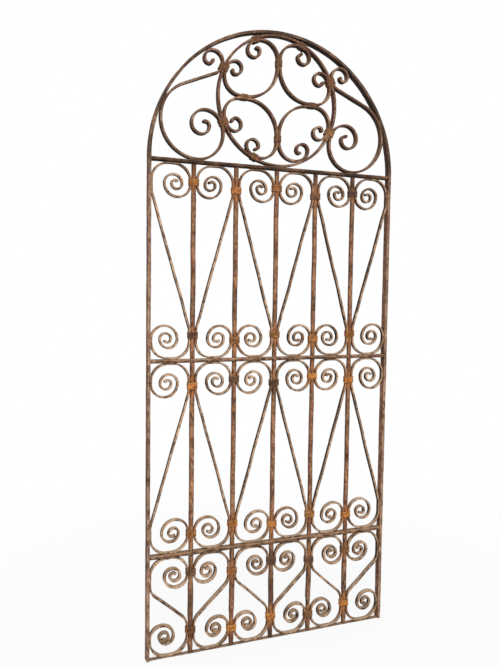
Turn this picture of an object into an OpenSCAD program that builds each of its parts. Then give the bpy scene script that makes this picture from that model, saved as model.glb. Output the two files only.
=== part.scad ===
// Wrought iron garden gate with a round arched top, scroll panels and collared joints.
// Millimetres. X runs across the gate from the hinge side, Y runs from front to back, Z is up.
// The origin is the middle of the hinge stile's flat outer face.

/* [Frame] */
// Overall width over the outer faces of the two stiles
gate_w = 910; // [700:1:1200]
// Thickness of the flat bar of the stiles and the arch, seen from the front
frame_t = 10; // [6:0.5:14]
// Depth of the flat bar of the stiles, the arch and the rails, front to back
frame_d = 27; // [20:0.5:40]

/* [Rails and panels] */
// Height of the top, middle and lower rails
rail_h = 12; // [8:0.5:20]
// Height of the flat strip that closes the bottom
bottom_rail_h = 3; // [2:0.5:12]
// Depth of the flat strip that closes the bottom, front to back
bottom_rail_d = 16; // [13:0.5:40]
// Clear height of the short panel at the bottom
short_panel_h = 344; // [320:1:500]
// Clear height of each of the two tall panels
tall_panel_h = 646; // [500:1:900]

/* [Uprights] */
// Diameter of the five round uprights
upright_d = 16; // [10:0.5:18]
// Diameter of the tenons at the ends of the uprights
tenon_d = 10; // [6:0.5:10]

/* [Panel scrolls] */
// Thickness of the panel scroll bar, seen from the front
scroll_t = 6.5; // [4:0.5:8]
// Depth of the panel scroll bar, front to back
scroll_d = 14; // [8:0.5:15]
// Each half turn of a panel scroll is this much of the one before it
curl_ratio = 0.69; // [0.6:0.01:0.72]
// Length of scroll that lies straight along an upright below the big turn
seat_run = 24; // [20:1:30]
// Length of scroll that lies straight along an upright inside the big turn
seat_rise = 10; // [6:1:16]
// Angle of the last short turn at the tip of a panel scroll
tip_turn = 165; // [60:5:180]
// Radius of the bend between the slanting bar of a panel scroll and the upright beside it
knee_r = 50; // [30:1:60]

/* [Arched top] */
// Thickness of the ring and scroll bar in the arched top, seen from the front
ring_t = 8; // [5:0.5:10]
// Depth of the ring and scroll bar in the arched top, front to back
ring_d = 22; // [12:0.5:24]
// Angle of the ring's seven collars from its level and upright centre lines
collar_angle = 24; // [21:0.5:27]
// Length of a curl inside the ring that runs straight on from its collar
curl_run = 12; // [8:1:16]
// Radius of the first part of the curls inside the ring
curl_r = 32; // [26:1:40]
// Radius of the half turn of the curls inside the ring
curl_turn_r = 22; // [18:1:28]
// Angle of the last short turn at the tip of the curls in the arched top
curl_tip_turn = 120; // [60:5:150]
// Length of a side scroll that runs straight to its collar from the tight bend
neck_run = 12; // [6:1:16]
// Radius of the tight bend where a side scroll leaves the ring
neck_r = 24; // [18:1:40]
// Radius of the first part of the spiral inside a side scroll
spiral_r = 62; // [54:1:66]

/* [Collars] */
// Length of each collar along the bars that it binds
collar_h = 22; // [16:1:24]
// Thickness of the collar strip
collar_band = 1.5; // [1:0.25:4]
// Outer corner radius of the collars
collar_round = 2.5; // [1.5:0.25:4]

/* [Fits] */
// Clearance between bars that lie against each other
fit_gap = 0.2; // [0.1:0.05:0.5]
// How far the line between two hammered lengths of bar stands out
forge_proud = 0.05; // [0.02:0.01:0.08]
// Length of the line between two hammered lengths of bar
forge_len = 1; // [0.5:0.1:2]
// Room left in a collar beside a curved bar
curve_room = 0.6; // [0.5:0.1:1.2]
// Room left in the ring's collars beside the tighter curls
curl_room = 1.9; // [1.8:0.1:2.5]

/* [Hidden] */
$fn = 96;

// Heights above the foot of the gate
lower_panel_z = bottom_rail_h;
lower_rail_z = lower_panel_z + short_panel_h;
middle_panel_z = lower_rail_z + rail_h;
middle_rail_z = middle_panel_z + tall_panel_h;
upper_panel_z = middle_rail_z + rail_h;
top_rail_z = upper_panel_z + tall_panel_h;
stile_h = top_rail_z + rail_h;

// Positions across the gate
mid_x = gate_w / 2;
bay_w = (gate_w - frame_t) / 6;
function upright_x(k) = frame_t / 2 + k * bay_w;
function bay_left(b) = b == 1 ? frame_t : upright_x(b - 1) + upright_d / 2;
function bay_right(b) = b == 6 ? gate_w - frame_t : upright_x(b) - upright_d / 2;
function bay_mid(b) = (bay_left(b) + bay_right(b)) / 2;
function turn_r(b) = (bay_right(b) - bay_left(b) - 2 * fit_gap - scroll_t) / 2;
inner_turn_r = turn_r(2);
turn_inset = fit_gap + scroll_t / 2 + inner_turn_r;

// Arched top, measured from the centre of its ring
arch_in = gate_w / 2 - frame_t;
ring_mid_z = stile_h + arch_in / 2;
ring_r = arch_in / 2 - fit_gap - ring_t / 2;
ring_in = ring_r - ring_t - fit_gap;
ring_out = ring_r + ring_t + fit_gap;
axis_off = ring_t / 2 + fit_gap / 2;
lobe_r = (ring_in * sin(collar_angle) - axis_off) / (1 + sin(collar_angle));
lobe_start = (ring_in - lobe_r) * cos(collar_angle);
lobe_seat = collar_h + 2;
quarter_at = lobe_start - lobe_seat;
quarter_r = quarter_at - axis_off;

// Side scroll, tangent to the ring, the top rail and the arch
floor_y = -arch_in / 2 + ring_t / 2 + fit_gap;
reach = arch_in - ring_t / 2 - fit_gap;
side_low_r = (-ring_out * sin(collar_angle) - floor_y) / (1 + sin(collar_angle));
side_low_x = -(ring_out + side_low_r) * cos(collar_angle);
side_rise = floor_y + arch_in / 2;
side_big_r = (reach * reach - side_low_x * side_low_x - side_rise * side_rise) / (2 * (reach + side_rise));
neck_x = -(ring_out + neck_r) * cos(collar_angle) - neck_run * sin(collar_angle) - side_low_x;
neck_y = (ring_out + neck_r) * sin(collar_angle) - neck_run * cos(collar_angle) - floor_y - side_big_r;
neck_dist = sqrt(neck_x * neck_x + neck_y * neck_y);
cross_turn = asin((side_big_r + neck_r) / neck_dist);
cross_heading = atan2(neck_y, neck_x) - cross_turn;
cross_len = neck_dist * cos(cross_turn);
knob_x = -ring_out * cos(collar_angle);
knob_y = ring_out * sin(collar_angle) + arch_in / 2;
knob_sq = knob_x * knob_x + knob_y * knob_y;
knob_along = -knob_x * cos(collar_angle) + knob_y * sin(collar_angle);
knob_r = (reach * reach - knob_sq) / (2 * (reach + knob_along));

// A bar is a chain of bends. A bend is [radius, turn] and a straight is [0, length].
// A place is [x, y, heading], and a turn to the left is positive.
function bend_side(bend) = bend[1] < 0 ? -1 : 1;
function bend_mid(place, bend) = [
    place[0] - bend_side(bend) * bend[0] * sin(place[2]),
    place[1] + bend_side(bend) * bend[0] * cos(place[2])
];
function straight_end(place, bend) = [
    place[0] + bend[1] * cos(place[2]),
    place[1] + bend[1] * sin(place[2]),
    place[2]
];
function curve_end(place, bend) = [
    bend_mid(place, bend)[0] + bend_side(bend) * bend[0] * sin(place[2] + bend[1]),
    bend_mid(place, bend)[1] - bend_side(bend) * bend[0] * cos(place[2] + bend[1]),
    place[2] + bend[1]
];
function bend_end(place, bend) = bend[0] == 0 ? straight_end(place, bend) : curve_end(place, bend);
function place_at(start, bends, count) =
    count == 0 ? start : bend_end(place_at(start, bends, count - 1), bends[count - 1]);

module straight_bar(place, length, bar_t, bar_d) {
    translate([place[0], place[1], -bar_d / 2])
        rotate(place[2])
            translate([0, -bar_t / 2, 0])
                cube([length, bar_t, bar_d]);
}

module curved_bar(place, bend, bar_t, bar_d) {
    from = place[2] - 90 * bend_side(bend);
    translate(bend_mid(place, bend))
        rotate(min(from, from + bend[1]))
            rotate_extrude(angle = abs(bend[1]))
                translate([bend[0] - bar_t / 2, -bar_d / 2])
                    square([bar_t, bar_d]);
}

// The thin raised line where two lengths of bar are hammered together
module forge_line(place, bar_t, bar_d) {
    translate([place[0], place[1], 0])
        rotate(place[2])
            cube([forge_len, bar_t + 2 * forge_proud, bar_d + 2 * forge_proud], center = true);
}

module bent_bar(start, bends, bar_t, bar_d, first_line) {
    for (i = [0 : len(bends) - 1]) {
        place = place_at(start, bends, i);
        if (bends[i][0] == 0) {
            straight_bar(place, bends[i][1], bar_t, bar_d);
        } else {
            curved_bar(place, bends[i], bar_t, bar_d);
        }
        if (i >= first_line) forge_line(place, bar_t, bar_d);
    }
}

module stand_up() {
    rotate([90, 0, 0]) children();
}

module from_foot(z) {
    translate([0, 0, z - stile_h / 2]) children();
}

module at_ring() {
    from_foot(ring_mid_z) translate([mid_x, 0, 0]) stand_up() children();
}

// Frame pieces
module left_stile() {
    color("#5b4334")
        from_foot(0) translate([0, -frame_d / 2, 0]) cube([frame_t, frame_d, stile_h]);
}

module right_stile() {
    color("#5b4334")
        from_foot(0) translate([gate_w - frame_t, -frame_d / 2, 0]) cube([frame_t, frame_d, stile_h]);
}

module arch() {
    color("#5b4334")
        from_foot(stile_h) translate([mid_x, 0, 0]) stand_up()
            rotate_extrude(angle = 180)
                translate([arch_in, -frame_d / 2])
                    square([frame_t, frame_d]);
}

module drilled_rail(z, height, depth, hole_d) {
    color("#65493a")
        from_foot(z)
            difference() {
                translate([frame_t + fit_gap, -depth / 2, 0])
                    cube([gate_w - 2 * frame_t - 2 * fit_gap, depth, height]);
                for (k = [1 : 5])
                    translate([upright_x(k), 0, -1])
                        cylinder(d = hole_d + 2 * fit_gap, h = height + 2);
            }
}

module top_rail() {
    drilled_rail(top_rail_z, rail_h, frame_d, tenon_d);
}

module middle_rail() {
    drilled_rail(middle_rail_z, rail_h, frame_d, upright_d);
}

module lower_rail() {
    drilled_rail(lower_rail_z, rail_h, frame_d, upright_d);
}

module bottom_rail() {
    drilled_rail(0, bottom_rail_h, bottom_rail_d, tenon_d);
}

// Round uprights, stepped down to tenons at the bottom strip and the top rail
module upright(k) {
    color("#6b4d3a")
        from_foot(0) translate([upright_x(k), 0, 0]) {
            cylinder(d = tenon_d, h = stile_h);
            translate([0, 0, lower_panel_z + fit_gap])
                cylinder(d = upright_d, h = top_rail_z - lower_panel_z - 2 * fit_gap);
        }
}

module upright_1() { upright(1); }
module upright_2() { upright(2); }
module upright_3() { upright(3); }
module upright_4() { upright(4); }
module upright_5() { upright(5); }

// One end of a panel scroll, from its slanting bar to the tip of its spiral
module scroll_end(r, slant, half_len) {
    wide = r - seat_rise;
    bends = [
        [knee_r, slant],
        [0, seat_run + seat_rise],
        [wide, 90],
        [0, 2 * seat_rise],
        [wide, 90],
        [0, seat_rise],
        [r * curl_ratio, 180],
        [r * pow(curl_ratio, 2), 180],
        [r * pow(curl_ratio, 3), 180],
        [r * pow(curl_ratio, 4), tip_turn]
    ];
    bent_bar([half_len * sin(slant), half_len * cos(slant), 90 - slant], bends, scroll_t, scroll_d, 0);
}

// A scroll like the letter S that fills one bay of a panel; lean 1 rises to the right
module panel_scroll(bay, panel_z, panel_h, lean) {
    r = turn_r(bay);
    drop = panel_h / 2 - fit_gap - scroll_t / 2 - r - seat_run;
    swing = sqrt(pow(r - knee_r, 2) + pow(drop, 2));
    slant = atan2(r - knee_r, drop) + asin(knee_r / swing);
    half_len = sqrt(pow(swing, 2) - pow(knee_r, 2));
    color("#775643")
        from_foot(panel_z + panel_h / 2) translate([bay_mid(bay), 0, 0]) stand_up()
            lean_to(lean) {
                rotate(90 - slant)
                    cube([2 * half_len, scroll_t, scroll_d], center = true);
                scroll_end(r, slant, half_len);
                rotate(180) scroll_end(r, slant, half_len);
            }
}

module lean_to(lean) {
    if (lean > 0) {
        children();
    } else {
        mirror([1, 0, 0]) children();
    }
}

module upper_scroll_1() { panel_scroll(1, upper_panel_z, tall_panel_h, -1); }
module upper_scroll_2() { panel_scroll(2, upper_panel_z, tall_panel_h, 1); }
module upper_scroll_3() { panel_scroll(3, upper_panel_z, tall_panel_h, -1); }
module upper_scroll_4() { panel_scroll(4, upper_panel_z, tall_panel_h, 1); }
module upper_scroll_5() { panel_scroll(5, upper_panel_z, tall_panel_h, -1); }
module upper_scroll_6() { panel_scroll(6, upper_panel_z, tall_panel_h, 1); }
module middle_scroll_1() { panel_scroll(1, middle_panel_z, tall_panel_h, 1); }
module middle_scroll_2() { panel_scroll(2, middle_panel_z, tall_panel_h, -1); }
module middle_scroll_3() { panel_scroll(3, middle_panel_z, tall_panel_h, 1); }
module middle_scroll_4() { panel_scroll(4, middle_panel_z, tall_panel_h, -1); }
module middle_scroll_5() { panel_scroll(5, middle_panel_z, tall_panel_h, 1); }
module middle_scroll_6() { panel_scroll(6, middle_panel_z, tall_panel_h, -1); }
module lower_scroll_1() { panel_scroll(1, lower_panel_z, short_panel_h, -1); }
module lower_scroll_2() { panel_scroll(2, lower_panel_z, short_panel_h, 1); }
module lower_scroll_3() { panel_scroll(3, lower_panel_z, short_panel_h, -1); }
module lower_scroll_4() { panel_scroll(4, lower_panel_z, short_panel_h, 1); }
module lower_scroll_5() { panel_scroll(5, lower_panel_z, short_panel_h, -1); }
module lower_scroll_6() { panel_scroll(6, lower_panel_z, short_panel_h, 1); }

// Arched top
module top_ring() {
    color("#5f4636")
        at_ring()
            rotate_extrude(angle = 360)
                translate([ring_r - ring_t / 2, -ring_d / 2])
                    square([ring_t, ring_d]);
}

module lobe_arm() {
    bends = [
        [0, lobe_seat],
        [lobe_r, 90 + collar_angle],
        [0, curl_run],
        [curl_r, 90 - collar_angle],
        [curl_turn_r, 180],
        [curl_turn_r * 0.48, curl_tip_turn]
    ];
    bent_bar([-axis_off, quarter_at, 90], bends, ring_t, ring_d, 0);
}

// A scroll like the letter C in one quarter of the ring; turn 0 is the upper left one
module lobe(turn) {
    color("#6b4d3a")
        at_ring() rotate(turn) {
            curved_bar([-quarter_at, axis_off, 0], [quarter_r, 90], ring_t, ring_d);
            lobe_arm();
            mirror([1, 1, 0]) lobe_arm();
        }
}

module top_scroll_upper_left() { lobe(0); }
module top_scroll_upper_right() { lobe(-90); }
module top_scroll_lower_left() { lobe(90); }
module top_scroll_lower_right() { lobe(180); }

module side_scroll() {
    outer = [
        [side_low_r, -(90 + collar_angle)],
        [side_big_r, -(180 - cross_heading)],
        [0, cross_len],
        [neck_r, 90 - collar_angle - cross_heading],
        [0, neck_run],
        [knob_r, 90 + collar_angle],
        [knob_r * 0.82, 90],
        [knob_r * 0.5, 90],
        [knob_r * 0.32, curl_tip_turn]
    ];
    inner = [
        [spiral_r, 90 - collar_angle],
        [spiral_r * 0.74, 90],
        [spiral_r * 0.55, 90],
        [spiral_r * 0.44, 90],
        [spiral_r * 0.24, curl_tip_turn]
    ];
    at_x = -ring_out * cos(collar_angle);
    at_y = -ring_out * sin(collar_angle);
    bent_bar([at_x, at_y, 270 + collar_angle], outer, ring_t, ring_d, 0);
    bent_bar([at_x, at_y, 90 + collar_angle], inner, ring_t, ring_d, 1);
}

module side_scroll_left() {
    color("#65493a") at_ring() side_scroll();
}

module side_scroll_right() {
    color("#65493a") at_ring() mirror([1, 0, 0]) side_scroll();
}

// Collars, strips wrapped round the bars; in_w is across the gate and in_d is front to back
module collar(in_w, in_d) {
    out_w = in_w + 2 * collar_band;
    out_d = in_d + 2 * collar_band;
    translate([0, 0, -collar_h / 2])
        linear_extrude(collar_h)
            difference() {
                union() {
                    square([out_w - 2 * collar_round, out_d], center = true);
                    square([out_w, out_d - 2 * collar_round], center = true);
                    for (sx = [-1, 1])
                        for (sy = [-1, 1])
                            translate([sx * (out_w / 2 - collar_round), sy * (out_d / 2 - collar_round)])
                                circle(r = collar_round);
                }
                square([in_w, in_d], center = true);
            }
}

panel_collar_w = upright_d + 2 * scroll_t + 2 * fit_gap + 2 * curve_room;
panel_collar_d = upright_d + 2 * fit_gap;
seat_mid = seat_run / 2;
curl_mid = seat_rise * 0.6;

// A row of five collars; shift_odd and shift_even move them from the level of the spiral centres
module collar_row(z, shift_odd, shift_even) {
    color("#b5682f")
        for (k = [1 : 5])
            from_foot(z + (k % 2 == 1 ? shift_odd : shift_even))
                translate([upright_x(k), 0, 0])
                    collar(panel_collar_w, panel_collar_d);
}

module upper_collars_high() {
    collar_row(top_rail_z - turn_inset, curl_mid, -seat_mid);
}

module upper_collars_low() {
    collar_row(upper_panel_z + turn_inset, seat_mid, -curl_mid);
}

module middle_collars_high() {
    collar_row(middle_rail_z - turn_inset, -seat_mid, curl_mid);
}

module middle_collars_low() {
    collar_row(middle_panel_z + turn_inset, -curl_mid, seat_mid);
}

module lower_collars_high() {
    collar_row(lower_rail_z - turn_inset, curl_mid, -seat_mid);
}

module lower_collars_low() {
    collar_row(lower_panel_z + turn_inset, seat_mid, -curl_mid);
}

// A collar of the arched top, at a polar angle and distance from the ring's centre
module ring_collar(polar, dist, in_w) {
    rotate(polar)
        translate([dist, 0, 0])
            rotate([-90, 0, 0])
                collar(in_w, ring_d + 2 * fit_gap);
}

module seat_collar(polar) {
    rotate(polar)
        translate([quarter_at + lobe_seat / 2, 0, 0])
            rotate([0, 90, 0])
                rotate(90)
                    collar(2 * ring_t + 3 * fit_gap, ring_d + 2 * fit_gap);
}

module top_collars() {
    pair_w = 2 * ring_t + fit_gap + 2 * curl_room;
    trio_w = 3 * ring_t + 2 * fit_gap + 2 * curl_room;
    color("#b5682f")
        at_ring() {
            for (turn = [0 : 90 : 270]) seat_collar(turn);
            for (polar = [90 - collar_angle, 90 + collar_angle, 270 - collar_angle])
                ring_collar(polar, (ring_r + ring_in) / 2, pair_w);
            for (side = [0, 180])
                for (off = [-collar_angle, collar_angle])
                    ring_collar(side + off, ring_r, trio_w);
        }
}

left_stile();
right_stile();
arch();
top_rail();
middle_rail();
lower_rail();
bottom_rail();
upright_1();
upright_2();
upright_3();
upright_4();
upright_5();
upper_scroll_1();
upper_scroll_2();
upper_scroll_3();
upper_scroll_4();
upper_scroll_5();
upper_scroll_6();
middle_scroll_1();
middle_scroll_2();
middle_scroll_3();
middle_scroll_4();
middle_scroll_5();
middle_scroll_6();
lower_scroll_1();
lower_scroll_2();
lower_scroll_3();
lower_scroll_4();
lower_scroll_5();
lower_scroll_6();
top_ring();
top_scroll_upper_left();
top_scroll_upper_right();
top_scroll_lower_left();
top_scroll_lower_right();
side_scroll_left();
side_scroll_right();
upper_collars_high();
upper_collars_low();
middle_collars_high();
middle_collars_low();
lower_collars_high();
lower_collars_low();
top_collars();
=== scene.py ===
import math
import random
import zlib

import bpy
import numpy as np
from mathutils import Matrix, Vector


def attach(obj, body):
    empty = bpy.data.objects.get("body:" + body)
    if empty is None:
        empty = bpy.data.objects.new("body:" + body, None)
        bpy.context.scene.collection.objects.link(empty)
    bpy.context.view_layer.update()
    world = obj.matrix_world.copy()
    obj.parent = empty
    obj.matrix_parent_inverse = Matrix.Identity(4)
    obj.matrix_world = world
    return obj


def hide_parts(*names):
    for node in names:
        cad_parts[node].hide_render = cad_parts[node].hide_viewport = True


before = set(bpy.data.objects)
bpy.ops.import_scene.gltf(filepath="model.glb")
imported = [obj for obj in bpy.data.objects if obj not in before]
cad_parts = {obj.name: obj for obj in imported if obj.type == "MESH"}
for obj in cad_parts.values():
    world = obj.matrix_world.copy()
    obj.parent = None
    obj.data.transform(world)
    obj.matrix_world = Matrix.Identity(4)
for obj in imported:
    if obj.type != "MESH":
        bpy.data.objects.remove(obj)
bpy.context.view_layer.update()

# Sizes of the gate in metres and degrees, the same values as in the part's source
GATE_W = 0.910
FRAME_T = 0.010
FRAME_D = 0.027
RAIL_H = 0.012
BOTTOM_RAIL_H = 0.003
BOTTOM_RAIL_D = 0.016
SHORT_PANEL_H = 0.344
TALL_PANEL_H = 0.646
UPRIGHT_D = 0.016
SCROLL_T = 0.0065
SCROLL_D = 0.014
SEAT_RUN = 0.024
SEAT_RISE = 0.010
TIP_TURN = 165.0
KNEE_R = 0.050
RING_T = 0.008
RING_D = 0.022
COLLAR_ANGLE = 24.0
CURL_RUN = 0.012
CURL_R = 0.032
CURL_TURN_R = 0.022
CURL_TIP_TURN = 120.0
NECK_RUN = 0.012
NECK_R = 0.024
SPIRAL_R = 0.062
COLLAR_H = 0.022
COLLAR_BAND = 0.0015
COLLAR_ROUND = 0.0025
SEAT_SPARE = 0.002
FIT_GAP = 0.0002
CURVE_ROOM = 0.0006
CURL_ROOM = 0.0019
BAYS = 6
UPRIGHTS = range(1, BAYS)

# Heights above the foot of the gate
LOWER_PANEL_Z = BOTTOM_RAIL_H
LOWER_RAIL_Z = LOWER_PANEL_Z + SHORT_PANEL_H
MIDDLE_PANEL_Z = LOWER_RAIL_Z + RAIL_H
MIDDLE_RAIL_Z = MIDDLE_PANEL_Z + TALL_PANEL_H
UPPER_PANEL_Z = MIDDLE_RAIL_Z + RAIL_H
TOP_RAIL_Z = UPPER_PANEL_Z + TALL_PANEL_H
STILE_H = TOP_RAIL_Z + RAIL_H
FOOT = -STILE_H / 2
MID_X = GATE_W / 2
BAY_W = (GATE_W - FRAME_T) / BAYS

FULL_TURN = 2 * math.pi


def sin_d(angle):
    return math.sin(math.radians(angle))


def cos_d(angle):
    return math.cos(math.radians(angle))


# The stiles count as uprights 0 and 6
def upright_x(number):
    return FRAME_T / 2 + number * BAY_W


def bay_left(bay):
    if bay == 1:
        return FRAME_T
    return upright_x(bay - 1) + UPRIGHT_D / 2


def bay_right(bay):
    if bay == BAYS:
        return GATE_W - FRAME_T
    return upright_x(bay) - UPRIGHT_D / 2


def bay_mid(bay):
    return (bay_left(bay) + bay_right(bay)) / 2


def turn_r(bay):
    return (bay_right(bay) - bay_left(bay) - 2 * FIT_GAP - SCROLL_T) / 2


TURN_INSET = FIT_GAP + SCROLL_T / 2 + turn_r(2)

# Arched top, measured from the centre of its ring
ARCH_IN = GATE_W / 2 - FRAME_T
RING_MID_Z = STILE_H + ARCH_IN / 2
RING_R = ARCH_IN / 2 - FIT_GAP - RING_T / 2
RING_IN = RING_R - RING_T - FIT_GAP
RING_OUT = RING_R + RING_T + FIT_GAP
AXIS_OFF = RING_T / 2 + FIT_GAP / 2
LOBE_R = (RING_IN * sin_d(COLLAR_ANGLE) - AXIS_OFF) / (1 + sin_d(COLLAR_ANGLE))
LOBE_START = (RING_IN - LOBE_R) * cos_d(COLLAR_ANGLE)
LOBE_SEAT = COLLAR_H + SEAT_SPARE
QUARTER_AT = LOBE_START - LOBE_SEAT
QUARTER_R = QUARTER_AT - AXIS_OFF
FLOOR_Y = -ARCH_IN / 2 + RING_T / 2 + FIT_GAP
REACH = ARCH_IN - RING_T / 2 - FIT_GAP
SIDE_LOW_R = (-RING_OUT * sin_d(COLLAR_ANGLE) - FLOOR_Y) / (1 + sin_d(COLLAR_ANGLE))
SIDE_LOW_X = -(RING_OUT + SIDE_LOW_R) * cos_d(COLLAR_ANGLE)
SIDE_RISE = FLOOR_Y + ARCH_IN / 2
SIDE_BIG_R = (REACH ** 2 - SIDE_LOW_X ** 2 - SIDE_RISE ** 2) / (2 * (REACH + SIDE_RISE))
NECK_MID_X = -(RING_OUT + NECK_R) * cos_d(COLLAR_ANGLE) - NECK_RUN * sin_d(COLLAR_ANGLE)
NECK_MID_Y = (RING_OUT + NECK_R) * sin_d(COLLAR_ANGLE) - NECK_RUN * cos_d(COLLAR_ANGLE)
NECK_X = NECK_MID_X - SIDE_LOW_X
NECK_Y = NECK_MID_Y - FLOOR_Y - SIDE_BIG_R
NECK_DIST = math.hypot(NECK_X, NECK_Y)
CROSS_TURN = math.degrees(math.asin((SIDE_BIG_R + NECK_R) / NECK_DIST))
CROSS_HEADING = math.degrees(math.atan2(NECK_Y, NECK_X)) - CROSS_TURN
CROSS_LEN = NECK_DIST * cos_d(CROSS_TURN)
KNOB_X = -RING_OUT * cos_d(COLLAR_ANGLE)
KNOB_Y = RING_OUT * sin_d(COLLAR_ANGLE) + ARCH_IN / 2
KNOB_ALONG = -KNOB_X * cos_d(COLLAR_ANGLE) + KNOB_Y * sin_d(COLLAR_ANGLE)
KNOB_R = (REACH ** 2 - KNOB_X ** 2 - KNOB_Y ** 2) / (2 * (REACH + KNOB_ALONG))
RING_X = MID_X
RING_Z = FOOT + RING_MID_Z

# Rails: height of the underside, thickness and depth
RAILS = {
    "top_rail": (TOP_RAIL_Z, RAIL_H, FRAME_D),
    "middle_rail": (MIDDLE_RAIL_Z, RAIL_H, FRAME_D),
    "lower_rail": (LOWER_RAIL_Z, RAIL_H, FRAME_D),
    "bottom_rail": (0.0, BOTTOM_RAIL_H, BOTTOM_RAIL_D),
}

# Collar places: x, height above the foot, heading of the bars, inner width, inner depth
PANEL_COLLAR_W = UPRIGHT_D + 2 * SCROLL_T + 2 * FIT_GAP + 2 * CURVE_ROOM
PANEL_COLLAR_D = UPRIGHT_D + 2 * FIT_GAP
TOP_COLLAR_D = RING_D + 2 * FIT_GAP
CURL_SHARE = 0.6
SEAT_MID = SEAT_RUN / 2
CURL_MID = SEAT_RISE * CURL_SHARE


def collar_row(z, shift_odd, shift_even):
    row = []
    for number in UPRIGHTS:
        shift = shift_odd if number % 2 == 1 else shift_even
        row.append((upright_x(number), z + shift, 90.0, PANEL_COLLAR_W, PANEL_COLLAR_D))
    return row


def ring_spot(polar, dist, heading, width):
    x = MID_X + dist * cos_d(polar)
    z = RING_MID_Z + dist * sin_d(polar)
    return (x, z, heading, width, TOP_COLLAR_D)


# Four collars join two scrolls, three join a scroll to the ring, and four take in a side scroll too
def top_collar_row():
    row = []
    for polar in (0, 90, 180, 270):
        row.append(ring_spot(polar, QUARTER_AT + LOBE_SEAT / 2, polar, 2 * RING_T + 3 * FIT_GAP))
    pair = 2 * RING_T + FIT_GAP + 2 * CURL_ROOM
    trio = 3 * RING_T + 2 * FIT_GAP + 2 * CURL_ROOM
    for polar in (90 - COLLAR_ANGLE, 90 + COLLAR_ANGLE, 270 - COLLAR_ANGLE):
        row.append(ring_spot(polar, (RING_R + RING_IN) / 2, polar + 90, pair))
    for side in (0, 180):
        for off in (-COLLAR_ANGLE, COLLAR_ANGLE):
            row.append(ring_spot(side + off, RING_R, side + off + 90, trio))
    return row


COLLARS = {
    "upper_collars_high": collar_row(TOP_RAIL_Z - TURN_INSET, CURL_MID, -SEAT_MID),
    "upper_collars_low": collar_row(UPPER_PANEL_Z + TURN_INSET, SEAT_MID, -CURL_MID),
    "middle_collars_high": collar_row(MIDDLE_RAIL_Z - TURN_INSET, -SEAT_MID, CURL_MID),
    "middle_collars_low": collar_row(MIDDLE_PANEL_Z + TURN_INSET, -CURL_MID, SEAT_MID),
    "lower_collars_high": collar_row(LOWER_RAIL_Z - TURN_INSET, CURL_MID, -SEAT_MID),
    "lower_collars_low": collar_row(LOWER_PANEL_Z + TURN_INSET, SEAT_MID, -CURL_MID),
    "top_collars": top_collar_row(),
}

# How bright the rust of each collar is, from 0 for dark scale to 1 for bright orange
COLLAR_TONES = {
    "upper_collars_high": (0.62, 0.7, 0.52, 0.22, 0.05),
    "upper_collars_low": (0.15, 0.5, 0.4, 0.6, 0.6),
    "middle_collars_high": (0.8, 0.1, 0.1, 0.85, 0.8),
    "middle_collars_low": (0.45, 0.75, 0.7, 0.6, 0.85),
    "lower_collars_high": (0.15, 0.55, 0.05, 0.1, 0.3),
    "lower_collars_low": (0.4, 1.0, 0.9, 0.2, 0.85),
    "top_collars": (0.3, 0.25, 0.35, 0.3, 0.2, 0.25, 0.45, 0.4, 0.35, 0.3, 0.4),
}

# Bars are chains of bends in the gate's plane: (radius, turn), or (0, length) for a straight
STEP = 0.005
FINE_SHARE = 0.16


def straight_points(start, length, step):
    x, y, heading = start
    count = max(2, int(round(length / step)))
    points = []
    for i in range(1, count + 1):
        run = length * i / count
        points.append((x + run * cos_d(heading), y + run * sin_d(heading), heading))
    return points


def arc_points(start, radius, turn, step):
    x, y, heading = start
    side = -1 if turn < 0 else 1
    mid_x = x - side * radius * sin_d(heading)
    mid_y = y + side * radius * cos_d(heading)
    length = abs(math.radians(turn)) * radius
    fine = min(step, radius * FINE_SHARE)
    count = max(3, int(round(length / fine)))
    points = []
    for i in range(1, count + 1):
        facing = heading + turn * i / count
        px = mid_x + side * radius * sin_d(facing)
        py = mid_y - side * radius * cos_d(facing)
        points.append((px, py, facing))
    return points


def bend_path(start, bends, step=STEP):
    points = [start]
    for radius, amount in bends:
        if radius == 0:
            points += straight_points(points[-1], amount, step)
        else:
            points += arc_points(points[-1], radius, amount, step)
    return points


def turn_round(points):
    return [(x, y, heading + 180) for x, y, heading in reversed(points)]


def turned(points, angle):
    out = []
    for x, y, heading in points:
        px = x * cos_d(angle) - y * sin_d(angle)
        py = x * sin_d(angle) + y * cos_d(angle)
        out.append((px, py, heading + angle))
    return out


def mirrored(points):
    return [(-x, y, 180 - heading) for x, y, heading in points]


def moved(points, dx, dz):
    return [(x + dx, y + dz, heading) for x, y, heading in points]


def between(first, second, steps):
    points = []
    for i in range(1, steps + 1):
        share = i / (steps + 1)
        px = first[0] + (second[0] - first[0]) * share
        py = first[1] + (second[1] - first[1]) * share
        points.append((px, py))
    return points


def seed_of(name):
    return zlib.crc32(name.encode("ascii"))


# Smooth hammered unevenness along a bar, in the range -1 to 1
WAVES = (1.0, 0.61, 0.37)
WAVES_SUM = 1.98
WAVE_STRETCH = (0.85, 1.15)


def uneven(run, name, wave):
    dice = random.Random(seed_of(name))
    total = np.zeros_like(run)
    for part in WAVES:
        phase = dice.uniform(0, FULL_TURN)
        stretch = dice.uniform(*WAVE_STRETCH)
        total += part * np.sin(FULL_TURN * run / (wave * part * stretch) + phase)
    return total / WAVES_SUM


# Outlines of bars: across the bar, through its depth, and how worn it is there
CORNERS = ((1, 1), (-1, 1), (-1, -1), (1, -1))
BAR_CORNER = 0.0011
EDGE_WEAR = 1.0
CORNER_WEAR = 0.6
ROUND_WEAR = 0.25
ROUND_SIDES = 20


def corner_point(half_t, half_d, corner, signs, angle):
    a = signs[0] * (half_t - corner) + corner * cos_d(angle)
    b = signs[1] * (half_d - corner) + corner * sin_d(angle)
    return (a, b)


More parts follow.
